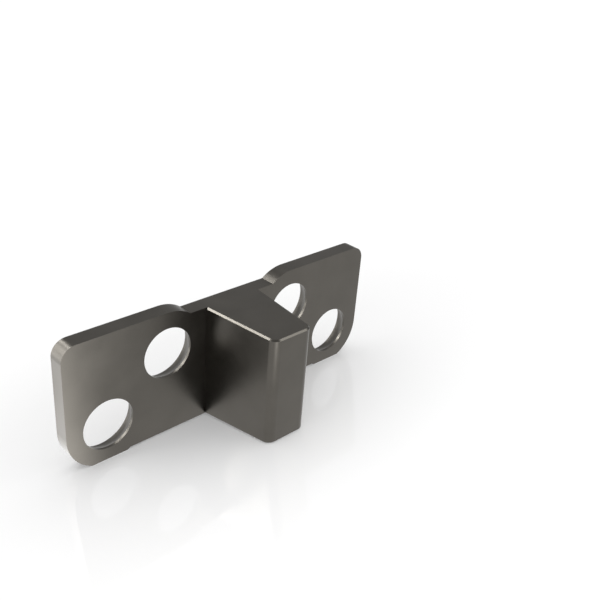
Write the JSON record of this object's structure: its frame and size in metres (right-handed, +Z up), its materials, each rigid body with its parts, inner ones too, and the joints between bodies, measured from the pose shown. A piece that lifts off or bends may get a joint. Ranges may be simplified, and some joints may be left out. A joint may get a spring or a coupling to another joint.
{
  "type": "orthopedic bone plate",
  "caption": "Flat bone plate with ball-seated screw holes, a tapered spacer block on its bone side and a blind hole for a plate holder.",
  "frame": {"origin": "middle of the part's outline, level with the surface that it stands on", "axes": "+X along the plate, +Z up, +Y to the side that the outer face looks at; the plate stands on its two feet and leans 6 degrees towards its block, as in the picture"},
  "size_m": [0.047, 0.0148, 0.0169],
  "materials": {
    "implant_metal": "fine satin, dark warm grey"
  },
  "bodies": {
    "root": {"osteotomy_plate": "implant_metal"}
  },
  "joints": []
}
